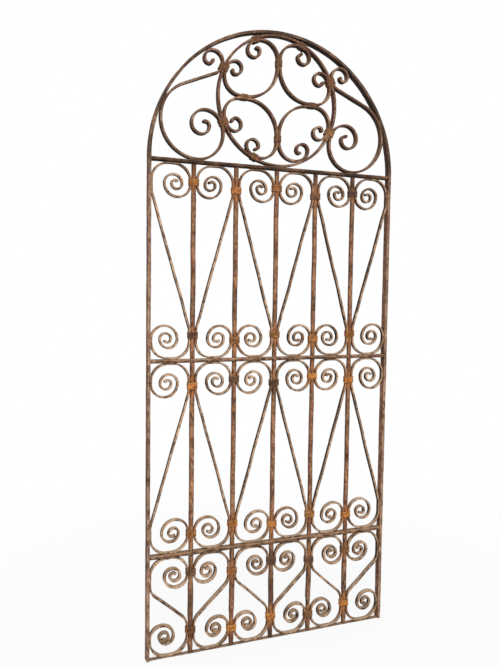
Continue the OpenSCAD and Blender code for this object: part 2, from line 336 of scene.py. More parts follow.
def flat_outline(thick, deep, corner, deep_steps, thick_steps):
    half_t = thick / 2
    half_d = deep / 2
    outline = []
    for quarter, signs in enumerate(CORNERS):
        for i in range(3):
            last = corner_point(half_t, half_d, corner, signs, 90 * quarter + 45 * i)
            outline.append(last + (EDGE_WEAR if i == 1 else CORNER_WEAR,))
        next_signs = CORNERS[(quarter + 1) % 4]
        following = corner_point(half_t, half_d, corner, next_signs, 90 * (quarter + 1))
        steps = thick_steps if quarter % 2 == 0 else deep_steps
        for point in between(last, following, steps):
            outline.append(point + (0.0,))
    return outline


def round_outline(radius, count):
    outline = []
    for i in range(count):
        angle = 360 * i / count
        outline.append((radius * cos_d(angle), radius * sin_d(angle), ROUND_WEAR))
    return outline


# Rust runs out of a collar on to the bars beside it, more from a bright one
STAIN_REACH = 0.040
DULL_STAIN = 0.3
BRIGHT_STAIN = 0.7


def collar_stain(points):
    stain = np.zeros(len(points))
    for node_name, row in COLLARS.items():
        for spot, tone in zip(row, COLLAR_TONES[node_name]):
            gap = np.hypot(points[:, 0] - spot[0], points[:, 2] - (FOOT + spot[1]))
            amount = DULL_STAIN + BRIGHT_STAIN * tone
            stain = np.maximum(stain, amount * np.exp(-(gap / STAIN_REACH) ** 2))
    return stain


# Dark lengths of the uprights and stiles: number, lowest and highest point above the foot, how dark
DARK_LENGTHS = [
    (0, 0.30, 1.15, 0.25),
    (1, -0.05, 0.06, 0.7),
    (1, 0.03, 0.33, 0.75),
    (1, 1.13, 1.57, 0.2),
    (2, -0.05, 0.06, 0.7),
    (2, 1.13, 1.57, 0.2),
    (3, -0.05, 0.06, 0.7),
    (3, 0.10, 0.345, 1.0),
    (3, 1.13, 1.57, 0.3),
    (4, -0.05, 0.06, 0.5),
    (4, 0.30, 0.42, 0.45),
    (5, -0.05, 0.06, 0.7),
    (5, 0.25, 0.42, 0.4),
    (5, 1.13, 1.57, 0.3),
    (6, 0.95, 1.70, 0.35),
]
DARK_FADE = 0.03
DARK_MARGIN = 0.003
DARK_REACH = UPRIGHT_D / 2 + DARK_MARGIN
TOP_DARK_BELOW = 0.05
TOP_DARK_FADE = 0.06
UPPER_DARK = 0.28
UPPER_DARK_Z = 1.15
UPPER_DARK_FADE = 0.4


# The arched top is the darkest, partly weathering and partly painted shade, the upper panel darkens
# towards it, and some lengths of upright are dark
def dark_share(points):
    heights = points[:, 2] - FOOT
    share = np.clip((heights - TOP_RAIL_Z + TOP_DARK_BELOW) / TOP_DARK_FADE, 0.0, 1.0)
    share = np.maximum(share, UPPER_DARK * np.clip((heights - UPPER_DARK_Z) / UPPER_DARK_FADE, 0.0, 1.0))
    for number, low, high, amount in DARK_LENGTHS:
        near = np.abs(points[:, 0] - upright_x(number)) < DARK_REACH
        inside = np.clip(np.minimum(heights - low, high - heights) / DARK_FADE, 0.0, 1.0)
        share = np.maximum(share, amount * near * inside)
    return share


def rows_mesh(rows, count, closed):
    faces = []
    last = rows if closed else rows - 1
    for i in range(last):
        j = (i + 1) % rows
        for k in range(count):
            m = (k + 1) % count
            faces.append((i * count + k, i * count + m, j * count + m, j * count + k))
    if not closed:
        faces.append(tuple(reversed(range(count))))
        faces.append(tuple(range((rows - 1) * count, rows * count)))
    return faces


# Forged bars: lengths of the waves in their unevenness, and the shares that go with them
THICK_WAVE = 0.085
DEEP_WAVE = 0.13
SWAY_WAVE = 0.31
SIDE_WAVE = 0.42
TWIST_WAVE = 0.27
DEEP_SWELL = 0.5
SIDE_SWAY = 1.6
MOST_TWIST = 0.9
CLOSED_FADE = 0.04
FREE_SWAY = 5

# Hammer marks: depth, and the shortest and longest wave
HAMMER_DENT = 0.00016
HAMMER_WAVES = (0.011, 0.026)
HAMMER_LAYERS = 3
HAMMER_PHASE = 6.28
LEAST_RADIUS = 0.002

# Scroll tips are thicker and a little shallower than the bar, and end in a round nose
TIP_RUN = 0.012
TIP_THIN = 0.06
NOSE_RUN = 0.004
NOSE_LEAST = 0.5

# Cut ends are blunted
BLUNT = 0.0009
BLUNT_SHARE = 0.86
BLUNT_BULGE = 0.3
END_WEAR = 0.7

# Rust streaks are this many times longer along a bar than across it
STREAK = 2.4
STREAK_STARTS = 9

# From the front of the gate to the back
BACK = np.array([0.0, 1.0, 0.0])


def hammer_marks(name, run, shape):
    round_the = np.arctan2(shape[:, 1], shape[:, 0])[None, :]
    dice = random.Random(seed_of(name + "dent"))
    marks = np.zeros((len(run), len(shape)))
    for k in range(1, HAMMER_LAYERS + 1):
        phase = dice.uniform(0, HAMMER_PHASE)
        wave = dice.uniform(*HAMMER_WAVES)
        marks += np.sin(FULL_TURN * run[:, None] / wave + k * round_the + phase)
    return marks


def blunt_ends(at, along, co, edge, lay):
    first = at[0] + (co[0] - at[0]) * BLUNT_SHARE - along[0] * BLUNT * BLUNT_BULGE
    last = at[-1] + (co[-1] - at[-1]) * BLUNT_SHARE + along[-1] * BLUNT * BLUNT_BULGE
    co[0] = co[0] + along[0] * BLUNT
    co[-1] = co[-1] - along[-1] * BLUNT
    end = np.full_like(edge[:1], END_WEAR)
    co = np.concatenate([first[None], co, last[None]], axis=0)
    edge = np.concatenate([end, edge, end], axis=0)
    lay = np.concatenate([lay[:1], lay, lay[-1:]], axis=0)
    return co, edge, lay


# Thickness, depth, place across, place through and twist along a bar
def bar_unevenness(name, run, swell, sway, fade):
    thick_scale = 1 + swell * uneven(run, name + "thick", THICK_WAVE) * fade
    deep_scale = 1 + DEEP_SWELL * swell * uneven(run, name + "deep", DEEP_WAVE) * fade
    shift = sway * uneven(run, name + "sway", SWAY_WAVE) * fade
    side = SIDE_SWAY * sway * uneven(run, name + "side", SIDE_WAVE) * fade
    twist = np.radians(MOST_TWIST) * uneven(run, name + "twist", TWIST_WAVE) * fade
    return thick_scale, deep_scale, shift, side, twist


def flare_tips(run, flare, thick_scale, deep_scale):
    for away in (run, run[-1] - run):
        grow = np.exp(-(away / TIP_RUN) ** 2)
        nose = np.sqrt(1 - (1 - np.clip(away / NOSE_RUN, 0.0, 1.0)) ** 2)
        thick_scale = (thick_scale + flare * grow) * (NOSE_LEAST + (1 - NOSE_LEAST) * nose)
        deep_scale = deep_scale - TIP_THIN * grow
    return thick_scale, deep_scale


# Sweep an outline along a path in the gate's plane; free is how much thicker the bar is at each point
def sweep_bar(name, path, outline, swell, sway, dent=HAMMER_DENT, closed=False, flare=0.0,
              free=None, free_deep=0.0):
    spots = np.array(path[:-1] if closed else path)
    at = np.stack([spots[:, 0], np.zeros(len(spots)), spots[:, 1]], axis=1)
    lean = np.radians(spots[:, 2])
    along = np.stack([np.cos(lean), np.zeros_like(lean), np.sin(lean)], axis=1)
    across = np.stack([-np.sin(lean), np.zeros_like(lean), np.cos(lean)], axis=1)
    run = np.concatenate([[0.0], np.cumsum(np.linalg.norm(np.diff(at, axis=0), axis=1))])
    fade = np.ones_like(run)
    if closed:
        fade = np.minimum(1, np.minimum(run, run[-1] - run) / CLOSED_FADE)
    thick_scale, deep_scale, shift, side, twist = bar_unevenness(name, run, swell, sway, fade)
    if free is not None:
        thick_scale = thick_scale + free
        deep_scale = deep_scale + free_deep * free
        shift = shift * (1 + FREE_SWAY * free / free.max())
    if flare:
        thick_scale, deep_scale = flare_tips(run, flare, thick_scale, deep_scale)
    shape = np.array(outline)
    plain_a = shape[:, 0][None, :] * thick_scale[:, None]
    plain_b = shape[:, 1][None, :] * deep_scale[:, None]
    turn_c = np.cos(twist)[:, None]
    turn_s = np.sin(twist)[:, None]
    marks = hammer_marks(name, run, shape) * fade[:, None]
    grow_by = 1 + dent * marks / (HAMMER_LAYERS * np.maximum(LEAST_RADIUS, np.hypot(plain_a, plain_b)))
    a = (plain_a * turn_c - plain_b * turn_s + shift[:, None]) * grow_by
    b = (plain_a * turn_s + plain_b * turn_c + side[:, None]) * grow_by
    co = at[:, None, :] + a[:, :, None] * across[:, None, :] + b[:, :, None] * BACK
    edge = np.tile(shape[:, 2], (len(at), 1))
    if closed:
        lay = co
    else:
        start = random.Random(seed_of(name + "streak")).uniform(0, STREAK_STARTS)
        lay = np.stack([np.broadcast_to((start + run / STREAK)[:, None], a.shape), a, b], axis=2)
        co, edge, lay = blunt_ends(at, along, co, edge, lay)
    rows, count = co.shape[:2]
    return co.reshape(-1, 3), edge.reshape(-1), lay.reshape(-1, 3), rows_mesh(rows, count, closed)


def add_values(mesh, name, values):
    layer = mesh.attributes.new(name, "FLOAT", "POINT")
    layer.data.foreach_set("value", values.astype(np.float32))


# A part is its points, their wear, their places along the bar and its faces
def make_piece(name, parts, nodes, slot, tones=None):
    faces = []
    base = 0
    for part in parts:
        for face in part[3]:
            faces.append(tuple(base + v for v in face))
        base += len(part[0])
    points = np.concatenate([part[0] for part in parts])
    edge = np.concatenate([part[1] for part in parts])
    lay = np.concatenate([part[2] for part in parts])
    mesh = bpy.data.meshes.new(name)
    mesh.from_pydata(points.tolist(), [], faces)
    mesh.update()
    add_values(mesh, "worn_edge", edge)
    place = mesh.attributes.new("bar_place", "FLOAT_VECTOR", "POINT")
    place.data.foreach_set("vector", lay.astype(np.float32).reshape(-1))
    add_values(mesh, "collar_stain", collar_stain(points))
    add_values(mesh, "dark_top", dark_share(points))
    if tones:
        spread = [np.full(len(part[0]), tone) for tone, part in zip(tones, parts)]
        add_values(mesh, "rust_tone", np.concatenate(spread))
    mesh.polygons.foreach_set("use_smooth", [True] * len(mesh.polygons))
    mesh.materials.append(MATERIALS[slot])
    piece = bpy.data.objects.new(name, mesh)
    bpy.context.scene.collection.objects.link(piece)
    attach(piece, "root")
    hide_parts(*nodes)


# Shader nodes
def add_node(tree, kind, **values):
    node = tree.nodes.new(kind)
    for key, value in values.items():
        setattr(node, key, value)
    return node


def noise_node(tree, vector, settings):
    node = add_node(tree, "ShaderNodeTexNoise")
    for socket, value in zip(("Scale", "Detail", "Roughness", "Distortion"), settings):
        node.inputs[socket].default_value = value
    tree.links.new(vector, node.inputs["Vector"])
    return node.outputs["Fac"]


def ramp_node(tree, factor, stops):
    node = add_node(tree, "ShaderNodeValToRGB")
    ramp = node.color_ramp
    while len(ramp.elements) < len(stops):
        ramp.elements.new(0.5)
    for element, (place, colour) in zip(ramp.elements, stops):
        element.position = place
        element.color = (colour[0], colour[1], colour[2], 1.0)
    tree.links.new(factor, node.inputs["Fac"])
    return node.outputs["Color"]


def grey_ramp(tree, factor, low, high, low_value=0.0, high_value=1.0):
    node = add_node(tree, "ShaderNodeMapRange")
    node.clamp = True
    node.inputs["From Min"].default_value = low
    node.inputs["From Max"].default_value = high
    node.inputs["To Min"].default_value = low_value
    node.inputs["To Max"].default_value = high_value
    tree.links.new(factor, node.inputs["Value"])
    return node.outputs["Result"]


def maths(tree, operation, first, second):
    node = add_node(tree, "ShaderNodeMath", operation=operation)
    tree.links.new(first, node.inputs[0])
    if isinstance(second, float):
        node.inputs[1].default_value = second
    else:
        tree.links.new(second, node.inputs[1])
    return node.outputs[0]


def attribute(tree, name):
    node = add_node(tree, "ShaderNodeAttribute", attribute_name=name)
    return node.outputs["Fac"]


def set_or_link(tree, value, socket):
    if isinstance(value, tuple):
        socket.default_value = (value[0], value[1], value[2], 1.0)
    else:
        tree.links.new(value, socket)


def mix_colour(tree, factor, first, second):
    node = add_node(tree, "ShaderNodeMix", data_type="RGBA", blend_type="MIX")
    tree.links.new(factor, node.inputs["Factor"])
    set_or_link(tree, first, node.inputs[6])
    set_or_link(tree, second, node.inputs[7])
    return node.outputs[2]


def multiply_colour(tree, base, layer, amount):
    node = add_node(tree, "ShaderNodeMix", data_type="RGBA", blend_type="MULTIPLY")
    node.inputs["Factor"].default_value = amount
    tree.links.new(base, node.inputs[6])
    tree.links.new(layer, node.inputs[7])
    return node.outputs[2]


# Lay a colour over another where all the masks let it through
def lay_over(tree, colour, layer, *masks):
    mask = masks[0]
    for other in masks[1:]:
        mask = maths(tree, "MULTIPLY", mask, other)
    return mix_colour(tree, mask, colour, layer)


# Noises of the rust: scale, detail, roughness and distortion
PATCHES = (13.0, 7.0, 0.62, 0.6)
MOTTLE = (70.0, 8.0, 0.68, 0.3)
FLECKS = (210.0, 6.0, 0.6, 0.0)
SPECKS = (150.0, 3.0, 0.55, 0.0)
GRAINS = (900.0, 4.0, 0.6, 0.0)
LENGTHS = (7.0, 5.0, 0.6, 0.4)
SCALE = (48.0, 10.0, 0.74, 1.2)

# Spans of a noise, or of the way the surface faces, over which a layer comes in: rust, the painted
# highlight and the painted shade
FLECK_SPAN = (0.54, 0.66)
PALE_SPECK_SPAN = (0.55, 0.64)
DARK_SPECK_SPAN = (0.45, 0.37)
FRONT_HIGHLIGHT_SPAN = (0.6, 0.97)
SIDE_SHADE_SPAN = (0.72, 0.30)
LENGTH_SPAN = (0.51, 0.60)
STAIN_SPAN = (0.10, 0.65)
SCALE_SPAN = (0.52, 0.66)
WEATHER_AND_SHADE_SPAN = (0.60, 0.42)
UPWARD_SPAN = (0.25, 0.95)
UNDERSIDE_SHADE_SPAN = (-0.15, -0.75)
ROUGH_SPAN = (0.3, 0.7)
PIT_SPAN = (0.0, 0.42)

# Masks that break a layer up: a span of a noise, and how much of the layer shows at its two ends
WORN_MASK = (0.38, 0.62, 0.05, 0.7)
FRONT_HIGHLIGHT_MASK = (0.42, 0.57, 0.0, 1.0)
LENGTH_MASK = (0.66, 0.40, 0.45, 1.0)
STAIN_MASK = (0.34, 0.56, 0.15, 1.0)
SCALE_MASK = (0.57, 0.45, 0.4, 1.0)
DUST_MASK = (0.3, 0.56, 0.35, 1.0)
TOP_DUST_MASK = (0.0, 1.0, 1.0, 0.75)

# Colours of the rust, with the painted highlight and painted shade among them
MOTTLE_STOPS = [
    (0.39, (0.30, 0.28, 0.27)),
    (0.5, (0.95, 0.93, 0.91)),
    (0.61, (1.6, 1.5, 1.4)),
]
ROUND_STOPS = [
    (0.30, (0.055, 0.028, 0.019)),
    (0.43, (0.175, 0.072, 0.036)),
    (0.55, (0.285, 0.118, 0.055)),
    (0.70, (0.400, 0.180, 0.086)),
]
SCROLL_STOPS = [
    (0.30, (0.055, 0.034, 0.021)),
    (0.43, (0.195, 0.102, 0.054)),
    (0.56, (0.325, 0.175, 0.092)),
    (0.72, (0.440, 0.255, 0.142)),
]
FRAME_STOPS = [
    (0.30, (0.048, 0.028, 0.021)),
    (0.45, (0.160, 0.076, 0.048)),
    (0.56, (0.255, 0.120, 0.074)),
    (0.72, (0.350, 0.182, 0.114)),
]
RAIL_STOPS = [
    (0.30, (0.032, 0.017, 0.013)),
    (0.45, (0.088, 0.037, 0.024)),
    (0.56, (0.150, 0.062, 0.037)),
    (0.72, (0.230, 0.102, 0.060)),
]
DULL_STOPS = [
    (0.30, (0.030, 0.020, 0.016)),
    (0.43, (0.058, 0.036, 0.028)),
    (0.56, (0.092, 0.054, 0.040)),
    (0.72, (0.150, 0.085, 0.055)),
]
BRIGHT_STOPS = [
    (0.28, (0.240, 0.085, 0.022)),
    (0.42, (0.440, 0.155, 0.032)),
    (0.56, (0.580, 0.225, 0.046)),
    (0.74, (0.720, 0.340, 0.095)),
]
# Pale dust colours, also used as the painted highlight on the front and back of the bars
DUST_AND_HIGHLIGHT = (0.610, 0.425, 0.285)
WARM_DUST_AND_HIGHLIGHT = (0.500, 0.320, 0.190)
DULL_DUST = (0.210, 0.130, 0.082)
BRIGHT_DUST = (0.600, 0.330, 0.140)
ORANGE = (0.420, 0.150, 0.042)
DULL_ORANGE = (0.140, 0.066, 0.034)
BRIGHT_ORANGE = (0.560, 0.200, 0.045)
# Painted shade for faces that look sideways
PAINTED_SIDE_SHADE = (0.030, 0.020, 0.016)
DARK_LENGTH = (0.034, 0.022, 0.018)
DARK_SCALE = (0.026, 0.017, 0.013)
DARK_SPECK = (0.018, 0.012, 0.010)
# Painted shade for faces that look down
PAINTED_UNDERSIDE_SHADE = (0.015, 0.009, 0.007)

# Each kind of bar: its colours, and how much of each layer of rust, painted highlight and painted shade it
# has
RUSTS = {
    "rusted_frame_bar": {
        "stops": FRAME_STOPS, "dust": DUST_AND_HIGHLIGHT, "orange": ORANGE, "weathered_and_shaded": (0.054, 0.034, 0.024),
        "dusty": 0.7, "flecks": 0.5, "scale": 0.6, "front": 0.3, "side_shade": 0.05, "lengths": 0.2,
        "mottle": 0.35, "pale_specks": 0.4, "dark_specks": 0.45, "weather_and_shade": (0.4, 0.97),
    },
    "rusted_rail_bar": {
        "stops": RAIL_STOPS, "dust": WARM_DUST_AND_HIGHLIGHT, "orange": ORANGE, "weathered_and_shaded": (0.040, 0.023, 0.016),
        "dusty": 0.65, "flecks": 0.6, "scale": 0.85, "front": 0.12, "side_shade": 0.4, "lengths": 0.6,
        "mottle": 0.5, "pale_specks": 0.45, "dark_specks": 0.6, "weather_and_shade": (0.4, 0.97),
    },
    "rusted_round_bar": {
        "stops": ROUND_STOPS, "dust": WARM_DUST_AND_HIGHLIGHT, "orange": ORANGE, "weathered_and_shaded": (0.080, 0.042, 0.028),
        "dusty": 0.6, "flecks": 0.75, "scale": 0.75, "front": 0.18, "side_shade": 0.65, "lengths": 0.4,
        "mottle": 0.4, "pale_specks": 0.4, "dark_specks": 0.6, "weather_and_shade": (0.4, 0.97),
    },
    "rusted_scroll_bar": {
        "stops": SCROLL_STOPS, "dust": DUST_AND_HIGHLIGHT, "orange": ORANGE, "weathered_and_shaded": (0.108, 0.052, 0.033),
        "dusty": 0.8, "flecks": 0.7, "scale": 0.9, "front": 0.68, "side_shade": 0.95, "lengths": 0.5,
        "mottle": 0.55, "pale_specks": 0.5, "dark_specks": 0.7, "weather_and_shade": (0.4, 0.97),
    },
    "bright_rust_collar": {
        "stops": DULL_STOPS, "dust": BRIGHT_DUST, "orange": BRIGHT_ORANGE,
        "weathered_and_shaded": (0.080, 0.042, 0.028), "dusty": 0.55, "flecks": 0.35, "scale": 0.6,
        "mottle": 0.75, "pale_specks": 0.3, "dark_specks": 0.4, "weather_and_shade": (0.35, 0.6),
    },
}
COLLAR_SLOT = "bright_rust_collar"
STAIN_MOST = 0.75
UNDERSIDE_SHADE_MOST = 0.85
ROUGHNESS = (0.62, 0.96)
SPECULAR = 0.12
PIT_SCALE = 210.0
PIT_SHARE = 0.55
GRAIN_SHARE = 0.8
FLECK_SHARE = 1.2
BUMP_STRENGTH = 0.75
BUMP_DEPTH = 0.0010


def rust_noises(tree):
    place = add_node(tree, "ShaderNodeTexCoord").outputs["Object"]
    along = add_node(tree, "ShaderNodeAttribute", attribute_name="bar_place").outputs["Vector"]
    return {
        "place": place,
        "patches": noise_node(tree, place, PATCHES),
        "mottle": noise_node(tree, along, MOTTLE),
        "flecks": noise_node(tree, along, FLECKS),
        "specks": noise_node(tree, along, SPECKS),
        "grains": noise_node(tree, place, GRAINS),
    }


# Mottling, orange flecks, pale specks and pale worn edges
def plain_rust(tree, noises, rust, colour, dust, orange):
    mottle = noises["mottle"]
    colour = multiply_colour(tree, colour, ramp_node(tree, mottle, MOTTLE_STOPS), rust["mottle"])
    flecks = grey_ramp(tree, noises["flecks"], *FLECK_SPAN, 0.0, rust["flecks"])
    colour = lay_over(tree, colour, orange, flecks)
    specks = grey_ramp(tree, noises["specks"], *PALE_SPECK_SPAN, 0.0, rust["pale_specks"])
    colour = lay_over(tree, colour, dust, specks)
    return lay_over(tree, colour, dust, attribute(tree, "worn_edge"), grey_ramp(tree, mottle, *WORN_MASK))


# Bars get a painted highlight on the front and back and painted shade on the side faces, are dark on some
# lengths, and orange beside collars
def bar_faces(tree, noises, rust, colour, facing_y):
    mottle = noises["mottle"]
    flat_node = add_node(tree, "ShaderNodeMath", operation="ABSOLUTE")
    tree.links.new(facing_y, flat_node.inputs[0])
    flat_on = flat_node.outputs[0]
    # Painted highlight: the pale dust colour is laid over faces that look to the front or back, a pale
    # band down the middle of a round bar
    front = grey_ramp(tree, flat_on, *FRONT_HIGHLIGHT_SPAN, 0.0, rust["front"])
    colour = lay_over(tree, colour, rust["dust"], front, grey_ramp(tree, mottle, *FRONT_HIGHLIGHT_MASK))
    # Painted shade: faces that look sideways are darkened
    colour = lay_over(tree, colour, PAINTED_SIDE_SHADE, grey_ramp(tree, flat_on, *SIDE_SHADE_SPAN, 0.0, rust["side_shade"]))
    dark_noise = noise_node(tree, noises["place"], LENGTHS)
    lengths = grey_ramp(tree, dark_noise, *LENGTH_SPAN, 0.0, rust["lengths"])
    colour = lay_over(tree, colour, DARK_LENGTH, lengths, grey_ramp(tree, mottle, *LENGTH_MASK))
    stain = grey_ramp(tree, attribute(tree, "collar_stain"), *STAIN_SPAN, 0.0, STAIN_MOST)
    return lay_over(tree, colour, rust["orange"], stain, grey_ramp(tree, mottle, *STAIN_MASK))


# Dark scale and specks, the darker arched top (partly weathering, partly painted shade), dust on top and
# painted shade on the undersides
def weathering_and_shade(tree, noises, rust, colour, dust, facing_z):
    patches = noises["patches"]
    scale = grey_ramp(tree, noise_node(tree, noises["place"], SCALE), *SCALE_SPAN, 0.0, rust["scale"])
    colour = lay_over(tree, colour, DARK_SCALE, scale, grey_ramp(tree, patches, *SCALE_MASK))
    specks = grey_ramp(tree, noises["specks"], *DARK_SPECK_SPAN, 0.0, rust["dark_specks"])
    colour = lay_over(tree, colour, DARK_SPECK, specks)
    # Darker towards the arched top, partly weathering and partly painted shade
    dark_top = attribute(tree, "dark_top")
    streaks = grey_ramp(tree, patches, *WEATHER_AND_SHADE_SPAN, *rust["weather_and_shade"])
    colour = lay_over(tree, colour, rust["weathered_and_shaded"], dark_top, streaks)
    thin_dust = grey_ramp(tree, dark_top, *TOP_DUST_MASK)
    upward = grey_ramp(tree, facing_z, *UPWARD_SPAN, 0.0, rust["dusty"])
    colour = lay_over(tree, colour, dust, thin_dust, upward, grey_ramp(tree, noises["mottle"], *DUST_MASK))
    # Painted shade: faces that look down are darkened
    return lay_over(tree, colour, PAINTED_UNDERSIDE_SHADE, grey_ramp(tree, facing_z, *UNDERSIDE_SHADE_SPAN, 0.0, UNDERSIDE_SHADE_MOST))


# Pits, grains and flecks in the surface
def rust_bump(tree, noises):
    pits = add_node(tree, "ShaderNodeTexVoronoi")
    pits.inputs["Scale"].default_value = PIT_SCALE
    tree.links.new(noises["place"], pits.inputs["Vector"])
    hollow = maths(tree, "MULTIPLY", grey_ramp(tree, pits.outputs["Distance"], *PIT_SPAN), PIT_SHARE)
    grains = maths(tree, "MULTIPLY", noises["grains"], GRAIN_SHARE)
    flecks = maths(tree, "MULTIPLY", noises["flecks"], FLECK_SHARE)
    bump = add_node(tree, "ShaderNodeBump")
    bump.inputs["Strength"].default_value = BUMP_STRENGTH
    bump.inputs["Distance"].default_value = BUMP_DEPTH
    heights = maths(tree, "ADD", maths(tree, "ADD", hollow, grains), flecks)
    tree.links.new(heights, bump.inputs["Height"])
    return bump.outputs["Normal"]


def rust_material(slot, rust):
    material = bpy.data.materials.new(slot)
    material.use_nodes = True
    tree = material.node_tree
    tree.nodes.clear()
    out = add_node(tree, "ShaderNodeOutputMaterial")
    shader = add_node(tree, "ShaderNodeBsdfPrincipled")
    tree.links.new(shader.outputs["BSDF"], out.inputs["Surface"])
    noises = rust_noises(tree)
    facing = add_node(tree, "ShaderNodeSeparateXYZ")
    tree.links.new(add_node(tree, "ShaderNodeNewGeometry").outputs["Normal"], facing.inputs[0])
    colour = ramp_node(tree, noises["patches"], rust["stops"])
    dust = rust["dust"]
    orange = rust["orange"]
    if slot == COLLAR_SLOT:
        tone = attribute(tree, "rust_tone")
        colour = mix_colour(tree, tone, colour, ramp_node(tree, noises["patches"], BRIGHT_STOPS))
        dust = mix_colour(tree, tone, DULL_DUST, dust)
        orange = mix_colour(tree, tone, DULL_ORANGE, orange)
    colour = plain_rust(tree, noises, rust, colour, dust, orange)
    if slot != COLLAR_SLOT:
        colour = bar_faces(tree, noises, rust, colour, facing.outputs["Y"])
    colour = weathering_and_shade(tree, noises, rust, colour, dust, facing.outputs["Z"])
    tree.links.new(colour, shader.inputs["Base Color"])
    roughness = grey_ramp(tree, noises["mottle"], *ROUGH_SPAN, *ROUGHNESS)
    tree.links.new(roughness, shader.inputs["Roughness"])
    shader.inputs["Specular IOR Level"].default_value = SPECULAR
    tree.links.new(rust_bump(tree, noises), shader.inputs["Normal"])
    return material


MATERIALS = {slot: rust_material(slot, rust) for slot, rust in RUSTS.items()}

# Collars: a strip bent round the bars, with its seam at the back
COLLAR_SEAM = 0.0005
COLLAR_EXTRA_ROUND = 0.0006
COLLAR_BEND = COLLAR_ROUND - COLLAR_BAND / 2 + COLLAR_EXTRA_ROUND
COLLAR_FLATS = 5
COLLAR_ARC_STEPS = 4
COLLAR_CHAMFER = 0.0011
COLLAR_INNER_CHAMFER = 0.0006
COLLAR_TILT = 0.0006
COLLAR_RISE = 0.0004
COLLAR_RISE_WAVES = 2
COLLAR_PUFF = 0.12
COLLAR_PUFF_WAVES = 3
COLLAR_INNER_PLACES = (0.9, 0.0, -0.9)

# The strip's outer face, from foot to top: place as a share of its half height, how proud, how worn
COLLAR_RIMS = [
    (-0.96, 0.0002, 0.8),
    (-0.86, 0.0005, 1.0),
    (-0.74, 0.0004, 0.6),
    (-0.62, 0.0, 0.0),
    (-0.2, 0.0001, 0.0),
    (0.2, 0.0001, 0.0),
    (0.56, 0.0, 0.0),
    (0.70, 0.0005, 0.7),
    (0.84, 0.0007, 1.0),
    (0.96, 0.0003, 0.8),
]


def collar_path(half_w, half_d):
    path = [(COLLAR_SEAM, half_d)]
    for sign_w, sign_d, angle in ((1, 1, 90), (1, -1, 0), (-1, -1, -90), (-1, 1, -180)):
        mid_w = sign_w * (half_w - COLLAR_BEND)
        mid_d = sign_d * (half_d - COLLAR_BEND)
        arc = []
        for i in range(COLLAR_ARC_STEPS + 1):
            facing = angle - 90 / COLLAR_ARC_STEPS * i
            arc.append((mid_w + COLLAR_BEND * cos_d(facing), mid_d + COLLAR_BEND * sin_d(facing)))
        path += between(path[-1], arc[0], COLLAR_FLATS)
        path += arc
    end = (-COLLAR_SEAM, half_d)
    path += between(path[-1], end, COLLAR_FLATS)
    path.append(end)
    return np.array(path)


def collar_outline():
    half_b = COLLAR_BAND / 2
    half_h = COLLAR_H / 2
    outline = []
    for share, proud, worn in COLLAR_RIMS:
        outline.append((half_b + proud, share * half_h, worn))
    outline.append((half_b - COLLAR_CHAMFER, half_h, EDGE_WEAR))
    outline.append((-half_b + COLLAR_INNER_CHAMFER, half_h, CORNER_WEAR))
    for share in COLLAR_INNER_PLACES:
        outline.append((-half_b, share * half_h, 0.0))
    outline.append((-half_b + COLLAR_INNER_CHAMFER, -half_h, CORNER_WEAR))
    outline.append((half_b - COLLAR_CHAMFER, -half_h, EDGE_WEAR))
    return np.array(outline)


def collar_part(name, x, z, heading, width, depth):
    dice = random.Random(seed_of(name))
    half_w = width / 2 + COLLAR_BAND / 2
    half_d = depth / 2 + COLLAR_BAND / 2
    path = collar_path(half_w, half_d)
    shape = collar_outline()
    lead = np.gradient(path, axis=0)
    lead = lead / np.linalg.norm(lead, axis=1)[:, None]
    outward = np.stack([-lead[:, 1], lead[:, 0]], axis=1)
    run = np.arange(len(path)) / len(path)
    tilt = dice.uniform(-COLLAR_TILT, COLLAR_TILT)
    wavy = np.sin(FULL_TURN * (run * COLLAR_RISE_WAVES + dice.random()))
    rise = COLLAR_RISE * wavy + tilt * (path[:, 0] / half_w)
    puff = 1 + COLLAR_PUFF * np.sin(FULL_TURN * (run * COLLAR_PUFF_WAVES + dice.random()))
    out = shape[:, 0][None, :]
    a = np.where(out > 0, out * puff[:, None], out)
    b = shape[:, 1][None, :] + rise[:, None]
    up = np.array([cos_d(heading), 0.0, sin_d(heading)])
    side = np.array([sin_d(heading), 0.0, -cos_d(heading)])
    wide = path[:, 0][:, None] + a * outward[:, 0][:, None]
    deep = path[:, 1][:, None] + a * outward[:, 1][:, None]
    centre = np.array([x, 0.0, FOOT + z])
    co = centre + wide[:, :, None] * side + deep[:, :, None] * BACK + b[:, :, None] * up
    points = co.reshape(-1, 3)
    edge = np.tile(shape[:, 2], (len(path), 1)).reshape(-1)
    return points, edge, points, rows_mesh(len(path), len(shape), False)


for node_name, row in COLLARS.items():
    parts = []
    for number, spot in enumerate(row):
        parts.append(collar_part("%s_%d" % (node_name, number), *spot))
    make_piece("forged_" + node_name, parts, [node_name], COLLAR_SLOT, COLLAR_TONES[node_name])

# Frame: one flat bar up the hinge side, round the arch and down the latch side
frame_outline = flat_outline(FRAME_T, FRAME_D, BAR_CORNER, deep_steps=4, thick_steps=1)
frame_bends = [(0, STILE_H), (ARCH_IN + FRAME_T / 2, -180.0), (0, STILE_H)]
frame_path = bend_path((FRAME_T / 2, FOOT, 90.0), frame_bends)
frame_part = sweep_bar("frame", frame_path, frame_outline, swell=0.035, sway=0.0003)
make_piece("forged_frame", [frame_part], ["left_stile", "arch", "right_stile"], "rusted_frame_bar")

# Rails, well rounded by wear
RAIL_CORNER = 0.28
for node_name, (z, height, depth) in RAILS.items():
    outline = flat_outline(height, depth, RAIL_CORNER * height, deep_steps=4, thick_steps=1)
    path = bend_path((FRAME_T, FOOT + z + height / 2, 0.0), [(0, GATE_W - 2 * FRAME_T)])
    part = sweep_bar(node_name, path, outline, swell=0.03, sway=0.0003)
    make_piece("forged_" + node_name, [part], [node_name], "rusted_rail_bar")

